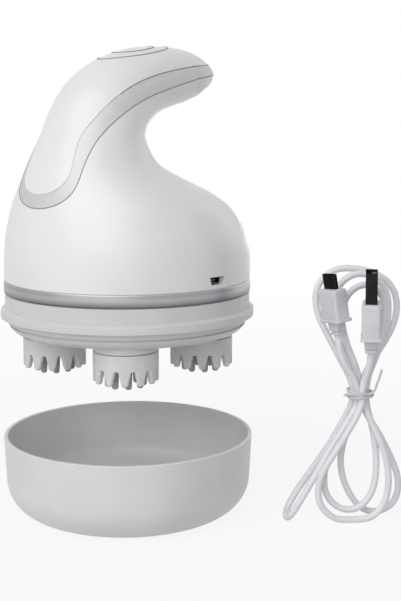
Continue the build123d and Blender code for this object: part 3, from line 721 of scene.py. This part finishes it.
class MASSAGER_OT_claw_heads(bpy.types.Operator):
    """Models one silicone claw head and places it four times"""

    bl_idname = "massager.claw_heads"
    bl_label = "Claw heads"

    def execute(self, context):
        sizes = context.scene.massager_claws
        colours = context.scene.massager_colours
        ring = claw_ring(sizes)
        core = claw_core(sizes)
        mould_over(ring, sizes.voxel, 3)
        mould_over(core, sizes.voxel, 2)
        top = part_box("massage_head_1")[1].z
        bore_out(ring, BORE_RADIUS, top - BORE_DEPTH, top + MM)
        # Cast silicone rubber: matt, slightly waxy and pale.
        pale = finish_of(
            "light_grey_silicone", colours.silicone, "D7D7D7", roughness=0.52, spread=0.05, cloud_mm=9,
            grain_mm=0.4, relief_mm=0.02, IOR=1.41, Subsurface_Weight=0.08, Subsurface_Scale=0.002)
        # The same silicone a tone darker: painted shade for the inner fingers, which sit in shade inside
        # the rim, so that they read apart from it.
        grey = finish_of(
            "mid_grey_silicone", "B0B0B0", "A2A2A2", roughness=0.52, spread=0.05, cloud_mm=9,
            grain_mm=0.4, relief_mm=0.02, IOR=1.41, Subsurface_Weight=0.05, Subsurface_Scale=0.002)
        for number in HEADS:
            low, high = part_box(f"massage_head_{number}")
            middle = (low + high) / 2
            turn = math.radians(90 * number - 45)
            place = Matrix.Translation((middle.x, middle.y, 0)) @ Matrix.Rotation(turn, 4, "Z")
            # The rim wears the pale silicone, the inner fingers the copy with painted shade.
            for form, finish, title in ((ring, pale, "claw_ring"), (core, grey, "claw_core")):
                piece = copy_of(form, f"{title}_{number}", place)
                wear(piece, finish)
                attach(piece, f"head_{number}")
                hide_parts(f"massage_head_{number}")
        discard(ring)
        discard(core)
        return {"FINISHED"}


# ---- Charging cable ----
def in_place(obj):
    """Moves a piece built at the hank's own origin to where the cable stands."""
    obj.data.transform(CABLE_PLACE)
    return obj


def grip(name, foot, relief, body):
    """Moulded grip of a plug on its stepped strain relief, with a bead where the cord leaves it."""
    x, y, z = (value * MM for value in foot)
    width, depth, height = (value * MM for value in relief)
    parts = []
    for share_low, share_high, scale in RELIEF_STEPS:
        rise = (share_high - share_low) * height
        size = (width * scale, depth * scale, rise)
        centre = (x, y, z + share_low * height + rise / 2)
        parts.append(block(f"{name}_step", size, centre, 0.25 * MM))
    neck = z + height
    size = tuple(value * MM for value in body)
    lip = (size[0] + 0.5 * MM, size[1] + 0.5 * MM, 1.2 * MM)
    parts.append(block(f"{name}_lip", lip, (x, y, neck + lip[2] / 2), 0.35 * MM, 4))
    centre = (x, y, neck + size[2] / 2)
    parts.append(block(f"{name}_body", size, centre, min(size[:2]) * 0.16, 6, taper=0.96))
    whole = joined(parts, name)
    smooth(whole, 50)
    return whole


def leaned(obj, foot, turn, lean):
    """Turns a plug piece about the line up its foot and leans it sideways."""
    place = Matrix.Translation(Vector(foot) * MM)
    turned_about = Matrix.Rotation(lean, 4, "Y") @ Matrix.Rotation(turn, 4, "Z")
    obj.data.transform(place @ turned_about @ place.inverted())
    return in_place(obj)


def sheet_sleeve(name, foot_z, centre, size, windows):
    """Sheet metal plug shell, open at its end, with latch windows on its broad sides."""
    x, y = centre[0] * MM, centre[1] * MM
    width, depth, height = (value * MM for value in size)
    bpy.ops.mesh.primitive_cube_add(
        size=1.0, location=(x, y, foot_z * MM + height / 2), scale=(width, depth, height))
    shell = added(name)
    pick_edges(shell, lambda a, b: abs(a.z - b.z) > MM)
    bpy.ops.mesh.bevel(offset=0.35 * MM, segments=4, affect="EDGES")
    leave_edit()
    pick_faces(shell, lambda c, n: n.z > 0.9)
    bpy.ops.mesh.inset(thickness=0.3 * MM)
    bpy.ops.transform.translate(value=(0, 0, -height * 0.9))
    leave_edit()
    for side, along, up in windows:
        place = (x + side * width / 2, y + along * MM, (foot_z + up) * MM)
        bpy.ops.mesh.primitive_cube_add(size=1.0, location=place, scale=WINDOW_SIZE)
        cut(shell, added(f"{name}_window"))
    smooth(shell, 30)
    return shell


class MASSAGER_OT_cable(bpy.types.Operator):
    """Models the tied charging cable, its two plugs and the tie"""

    bl_idname = "massager.cable"
    bl_label = "Charging cable"

    def execute(self, context):
        sizes = context.scene.massager_cable
        colours = context.scene.massager_colours
        # Plasticised vinyl jacket: pale lavender white with a soft sheen.
        jacket = finish_of(
            "soft_vinyl_jacket", colours.cord, "EAE9EE", roughness=0.38, spread=0.05, cloud_mm=16,
            grain_mm=0.7, relief_mm=0.001, grain_mix=0.1, IOR=1.53)
        # The overmoulds are the same vinyl with a matt skin, a tone darker.
        overmould = finish_of(
            "vinyl_overmould", "DDDCE2", "D2D1D8", roughness=0.45, spread=0.05, cloud_mm=8,
            relief_mm=0.015, IOR=1.53)
        # Nickel over stamped steel, painted nearly black: a painted reflection of a dark room, with a soft
        # sheen.
        dark = finish_of(
            "black_nickel_plate", "1C1C1E", "101011", roughness=0.32, spread=0.06, cloud_mm=2,
            grain_mm=0.3, relief_mm=0.004, Metallic=0.7)
        # Liquid crystal polymer: the matt, nearly black tongue inside the larger plug.
        core = finish_of(
            "black_liquid_crystal_polymer", "161617", "0C0C0D", roughness=0.5, spread=0.05, cloud_mm=3,
            grain_mm=0.3, IOR=1.6)
        # Paper-clad wire: dull and a tone darker than the cord it ties.
        wire = finish_of(
            "paper_clad_wire", "D8D8DC", "C8C8CE", roughness=0.5, spread=0.05, cloud_mm=4, relief_mm=0.02,
            IOR=1.5)

        usb = leaned(grip("usb_a_grip", USB_FOOT, USB_RELIEF, USB_GRIP), USB_FOOT, USB_TURN, 0)
        micro = leaned(grip("micro_usb_grip", MICRO_FOOT, MICRO_RELIEF, MICRO_GRIP),
                       MICRO_FOOT, MICRO_TURN, MICRO_LEAN)
        usb_sleeve = sheet_sleeve("usb_a_sleeve", USB_SHELL_FOOT, USB_FOOT[:2], USB_SHELL, USB_WINDOWS)
        leaned(usb_sleeve, USB_FOOT, USB_TURN, 0)
        micro_sleeve = sheet_sleeve("micro_usb_sleeve", MICRO_SHELL_FOOT, MICRO_FOOT[:2], MICRO_SHELL, [])
        leaned(micro_sleeve, MICRO_FOOT, MICRO_TURN, MICRO_LEAN)
        usb_tongue = block("usb_a_tongue", USB_TONGUE, USB_TONGUE_MIDDLE, 0.1 * MM, 2)
        leaned(usb_tongue, USB_FOOT, USB_TURN, 0)
        for piece, node, finish, slot in (
            (usb, "usb_a_plug", overmould, "cable_jacket"),
            (micro, "micro_usb_plug", overmould, "cable_jacket"),
            # The sleeves wear the nickel with a painted dark reflection.
            (usb_sleeve, "usb_a_shell", dark, "plug_metal"),
            (micro_sleeve, "micro_usb_shell", dark, "plug_metal"),
            (usb_tongue, "usb_a_shell", core, "plug_metal"),
        ):
            wear(piece, finish)
            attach(piece, "cup")
            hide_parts(node)

        tie = self.tie_wire()
        wear(tie, wire)
        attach(tie, "cup")
        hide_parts("cable_tie")

        curve = bpy.data.curves.new("charging_cord", "CURVE")
        curve.dimensions = "3D"
        curve.bevel_depth = sizes.diameter / 2
        curve.bevel_resolution = 9
        curve.resolution_u = 12
        curve.use_fill_caps = True
        spline = curve.splines.new("NURBS")
        spline.points.add(len(CORD_ROUTE) - 1)
        for point, step in zip(spline.points, CORD_ROUTE):
            point.co = (*(CABLE_PLACE @ (Vector(step) * MM)), 1.0)
        spline.order_u = 3
        spline.use_endpoint_u = True
        spline.use_smooth = True
        cord = bpy.data.objects.new("charging_cord", curve)
        bpy.context.scene.collection.objects.link(cord)
        curve.materials.append(jacket)
        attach(cord, "cup")
        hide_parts("cable_hank")
        return {"FINISHED"}

    def tie_wire(self):
        """Two turns of clad wire round the knot, twisted into a short tail."""
        turns = []
        for lift, lean in TIE_TURNS:
            bpy.ops.mesh.primitive_torus_add(
                major_segments=72, minor_segments=12, major_radius=4.9 * MM, minor_radius=0.62 * MM,
                location=(0, 0, 0))
            ring = added("tie_turn")
            x, y, z = TIE_MIDDLE
            ring.data.transform(Matrix.Translation((x * MM, y * MM, (z + lift) * MM))
                                @ Matrix.Rotation(math.radians(lean), 4, "Y")
                                @ Matrix.Diagonal((0.98, 1.05, 1.0, 1.0)))
            turns.append(ring)
        tail = bpy.data.curves.new("tie_tail", "CURVE")
        tail.dimensions = "3D"
        tail.bevel_depth = 0.45 * MM
        tail.bevel_resolution = 4
        tail.use_fill_caps = True
        for points in TIE_TAIL:
            run = tail.splines.new("NURBS")
            run.points.add(len(points) - 1)
            for point, step in zip(run.points, points):
                point.co = (*(Vector(step) * MM), 1.0)
            run.order_u = 3
            run.use_endpoint_u = True
        tail_object = bpy.data.objects.new("tie_tail", tail)
        bpy.context.scene.collection.objects.link(tail_object)
        pick_only(tail_object)
        bpy.ops.object.convert(target="MESH")
        tie = joined(turns + [bpy.context.object], "tie_wire")
        smooth(tie, 60)
        return in_place(tie)


# ---- Stage ----
def soft_light(name, place, aim, size, power):
    """Rectangular lamp that looks at the aim."""
    lamp = bpy.data.lights.new(name, "AREA")
    lamp.shape = "RECTANGLE"
    lamp.size, lamp.size_y = size
    lamp.energy = power
    obj = bpy.data.objects.new(name, lamp)
    obj.location = place
    obj.rotation_euler = (Vector(aim) - Vector(place)).to_track_quat("-Z", "Y").to_euler()
    bpy.context.scene.collection.objects.link(obj)


class MASSAGER_OT_stage(bpy.types.Operator):
    """Sets the pale floor, the soft studio light and the camera"""

    bl_idname = "massager.stage"
    bl_label = "Stage"

    def execute(self, context):
        stage = context.scene.massager_stage
        self.floor()
        self.surroundings(context.scene, stage.room)
        away = Vector(VIEW_AWAY).normalized()
        right = Vector((away.y, -away.x, 0))
        aim = Vector(LIGHT_AIM)
        for title, ((behind, aside, above), size) in LAMPS.items():
            place = aim + away * behind + right * aside + Vector((0, 0, above))
            soft_light(f"{title}_light", place, aim, size, getattr(stage, title))
        view = (away * math.cos(stage.pan) + right * math.sin(stage.pan)) * math.cos(stage.tilt)
        view.z = -math.sin(stage.tilt)
        camera = bpy.data.cameras.new("view_camera")
        camera.lens = LENS_MM
        camera.shift_y = LENS_SHIFT
        obj = bpy.data.objects.new("view_camera", camera)
        obj.location = right * CAMERA_ASIDE - away * stage.distance + Vector((0, 0, stage.height))
        obj.rotation_euler = view.to_track_quat("-Z", "Y").to_euler()
        context.scene.collection.objects.link(obj)
        context.scene.camera = obj
        context.scene.view_settings.view_transform = "Standard"
        return {"FINISHED"}

    def floor(self):
        """Paper floor, close to plain white for the camera and with soft shadows near the pieces."""
        bpy.ops.mesh.primitive_plane_add(size=FLOOR_SIZE, location=(0, 0, 0))
        floor = added("floor")
        # Seamless white paper: plain white from afar, with a soft grey contact shadow near the pieces.
        material = bpy.data.materials.new("seamless_white_paper")
        material.use_nodes = True
        tree = material.node_tree
        output = tree.nodes["Material Output"]
        paper = tree.nodes["Principled BSDF"]
        paper.inputs["Base Color"].default_value = linear("E4E4E4")
        paper.inputs["Roughness"].default_value = 0.8
        place = add_node(tree, "ShaderNodeTexCoord").outputs["Object"]
        fibre = add_node(tree, "ShaderNodeTexNoise", {"Vector": place, "Scale": 900.0, "Detail": 2.0})
        relief = add_node(tree, "ShaderNodeBump", {
            "Height": fibre.outputs["Fac"], "Strength": 0.1, "Distance": 0.2 * MM})
        tree.links.new(relief.outputs["Normal"], paper.inputs["Normal"])
        glow = add_node(tree, "ShaderNodeEmission", {"Color": (1, 1, 1, 1), "Strength": 1.0})
        rays = add_node(tree, "ShaderNodeLightPath")
        shows = add_node(tree, "ShaderNodeMath", {
            0: rays.outputs["Is Camera Ray"], 1: rays.outputs["Is Glossy Ray"]}, operation="MAXIMUM")
        reach = add_node(tree, "ShaderNodeVectorMath", {0: place}, operation="LENGTH")
        fade = add_node(tree, "ShaderNodeMapRange", {
            "Value": reach.outputs["Value"], "From Min": PAPER_NEAR, "From Max": PAPER_FAR,
            "To Min": PAPER_WHITE, "To Max": 1.0})
        share = add_node(tree, "ShaderNodeMath", {
            0: shows.outputs[0], 1: fade.outputs["Result"]}, operation="MULTIPLY")
        mixed = add_node(tree, "ShaderNodeMixShader", {
            0: share.outputs[0], 1: paper.outputs["BSDF"], 2: glow.outputs["Emission"]})
        tree.links.new(mixed.outputs["Shader"], output.inputs["Surface"])
        wear(floor, material)

    def surroundings(self, scene, room):
        """White room for the camera and for reflections, dimmer as a light."""
        world = bpy.data.worlds.new("white_room")
        scene.world = world
        world.use_nodes = True
        tree = world.node_tree
        output = tree.nodes["World Output"]
        rays = add_node(tree, "ShaderNodeLightPath")
        seen = add_node(tree, "ShaderNodeMath", {
            0: rays.outputs["Is Camera Ray"], 1: rays.outputs["Is Transmission Ray"]}, operation="MAXIMUM")
        shows = add_node(tree, "ShaderNodeMath", {
            0: seen.outputs[0], 1: rays.outputs["Is Glossy Ray"]}, operation="MAXIMUM")
        level = add_node(tree, "ShaderNodeMapRange", {
            "Value": shows.outputs[0], "To Min": room, "To Max": 1.0})
        glow = add_node(tree, "ShaderNodeBackground", {
            "Color": (1, 1, 1, 1), "Strength": level.outputs["Result"]})
        tree.links.new(glow.outputs["Background"], output.inputs["Surface"])


class MASSAGER_PT_pieces(bpy.types.Panel):
    """Shows the settings of the massager and the buttons that build it"""

    bl_idname = "MASSAGER_PT_pieces"
    bl_label = "Scalp massager"
    bl_space_type = "VIEW_3D"
    bl_region_type = "UI"
    bl_category = "Massager"

    def draw(self, context):
        layout = self.layout
        for name in ("massager_claws", "massager_cable", "massager_colours", "massager_stage"):
            group = getattr(context.scene, name)
            for key in group.bl_rna.properties.keys():
                if key not in ("rna_type", "name"):
                    layout.prop(group, key)
        for operator in OPERATORS:
            layout.operator(operator.bl_idname)


GROUPS = {
    "massager_claws": ClawSizes,
    "massager_cable": CableSizes,
    "massager_colours": FinishColours,
    "massager_stage": StageSizes,
}
OPERATORS = (
    MASSAGER_OT_finishes, MASSAGER_OT_seams, MASSAGER_OT_rings, MASSAGER_OT_claw_heads, MASSAGER_OT_cable,
    MASSAGER_OT_stage,
)


def register():
    for name, group in GROUPS.items():
        bpy.utils.register_class(group)
        setattr(bpy.types.Scene, name, bpy.props.PointerProperty(type=group))
    for item in OPERATORS + (MASSAGER_PT_pieces,):
        bpy.utils.register_class(item)


def unregister():
    for item in reversed(OPERATORS + (MASSAGER_PT_pieces,)):
        bpy.utils.unregister_class(item)
    for name, group in GROUPS.items():
        delattr(bpy.types.Scene, name)
        bpy.utils.unregister_class(group)


def main():
    register()
    bpy.ops.massager.stage()
    bpy.ops.massager.finishes()
    bpy.ops.massager.seams()
    bpy.ops.massager.rings()
    bpy.ops.massager.cable()
    bpy.ops.massager.claw_heads()


if __name__ == "__main__":
    main()
